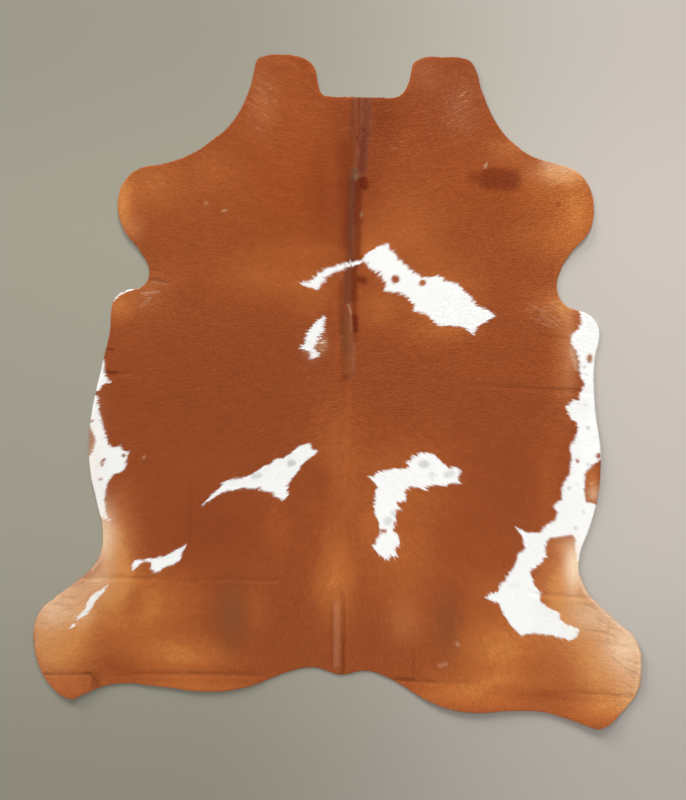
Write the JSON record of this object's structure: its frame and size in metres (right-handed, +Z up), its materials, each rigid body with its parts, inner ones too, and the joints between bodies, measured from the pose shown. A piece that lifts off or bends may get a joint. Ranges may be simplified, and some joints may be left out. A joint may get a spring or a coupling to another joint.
{
  "type": "cowhide rug",
  "caption": "Whole hair-on cowhide lying flat as a floor rug, with square neck flaps, rounded leg lobes and a shallow dip at the tail.",
  "frame": {"origin": "on the floor, under the middle of the hide's bounding box", "axes": "+Z up from the floor, +Y from the tail towards the neck, +X towards the right edge as seen from above"},
  "size_m": [1.941, 2.1532, 0.0158],
  "materials": {
    "hair_on_hide": "short glossy cognac brown hair with white patches, suede skin underneath"
  },
  "bodies": {
    "root": {"hide": "hair_on_hide"}
  },
  "joints": []
}
